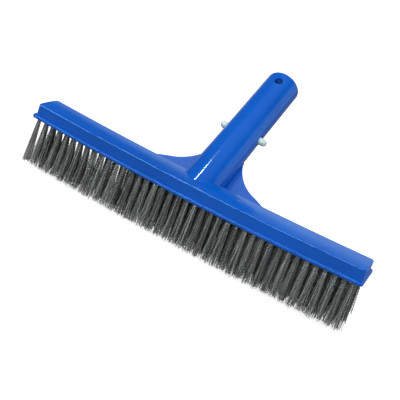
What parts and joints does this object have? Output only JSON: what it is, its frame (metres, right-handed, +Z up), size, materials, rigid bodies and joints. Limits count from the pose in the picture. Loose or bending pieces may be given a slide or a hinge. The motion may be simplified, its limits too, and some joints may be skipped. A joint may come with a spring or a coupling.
{
  "type": "pool wall brush",
  "caption": "Bowed pool brush head with staggered rows of crimped wire tufts, a hollow angled handle socket with gussets and a spring clip with two snap buttons.",
  "frame": {"origin": "middle of the head's underside, between the middle row's tufts", "axes": "+X along the head, +Y towards the handle, +Z up and away from the bristles"},
  "size_m": [0.2598, 0.1431, 0.1071],
  "materials": {
    "blue_polypropylene": "glossy moulded polypropylene",
    "white_acetal": "slightly translucent off-white moulding",
    "stainless_wire": "crimped drawn wire",
    "anchor_steel": "galvanised flat wire"
  },
  "bodies": {
    "brush": {"brush_back": "blue_polypropylene", "clip_bend": "white_acetal", "tuft_column_01": "stainless_wire", "tuft_column_02": "stainless_wire", "tuft_column_03": "stainless_wire", "tuft_column_04": "stainless_wire", "tuft_column_05": "stainless_wire", "tuft_column_06": "stainless_wire", "tuft_column_07": "stainless_wire", "tuft_column_08": "stainless_wire", "tuft_column_09": "stainless_wire", "tuft_column_10": "stainless_wire", "tuft_column_11": "stainless_wire", "tuft_column_12": "stainless_wire", "tuft_column_13": "stainless_wire", "tuft_column_14": "stainless_wire", "tuft_column_15": "stainless_wire", "tuft_column_16": "stainless_wire", "tuft_column_17": "stainless_wire", "tuft_column_18": "stainless_wire", "tuft_column_19": "stainless_wire", "tuft_column_20": "stainless_wire", "tuft_column_21": "stainless_wire", "tuft_column_22": "stainless_wire", "tuft_column_23": "stainless_wire", "tuft_column_24": "stainless_wire", "tuft_column_25": "stainless_wire", "tuft_column_26": "stainless_wire", "tuft_column_27": "stainless_wire", "tuft_column_28": "stainless_wire", "tuft_column_29": "stainless_wire", "tuft_column_30": "stainless_wire", "tuft_column_31": "stainless_wire", "tuft_column_32": "stainless_wire", "tuft_column_33": "stainless_wire", "tuft_column_34": "stainless_wire", "tuft_column_35": "stainless_wire", "tuft_column_36": "stainless_wire", "tuft_column_37": "stainless_wire", "tuft_column_38": "stainless_wire", "tuft_column_39": "stainless_wire", "tuft_column_40": "stainless_wire", "anchors_row_1": "anchor_steel", "anchors_row_2": "anchor_steel", "anchors_row_3": "anchor_steel", "anchors_row_4": "anchor_steel", "anchors_row_5": "anchor_steel"},
    "right_arm": {"clip_arm_right": "white_acetal"},
    "left_arm": {"clip_arm_left": "white_acetal"}
  },
  "joints": [
    {"name": "press_right", "type": "hinge", "parent": "brush", "child": "right_arm", "pos_m": [0.0022, 0.03759, 0.01634], "axis": [0, -0.4863, 0.8738], "range_deg": [0, 9.5], "stiffness_Nm_per_rad": 1.6},
    {"name": "press_left", "type": "hinge", "parent": "brush", "child": "left_arm", "pos_m": [-0.0022, 0.03759, 0.01634], "axis": [0, 0.4863, -0.8738], "range_deg": [0, 9.5], "stiffness_Nm_per_rad": 1.6}
  ]
}
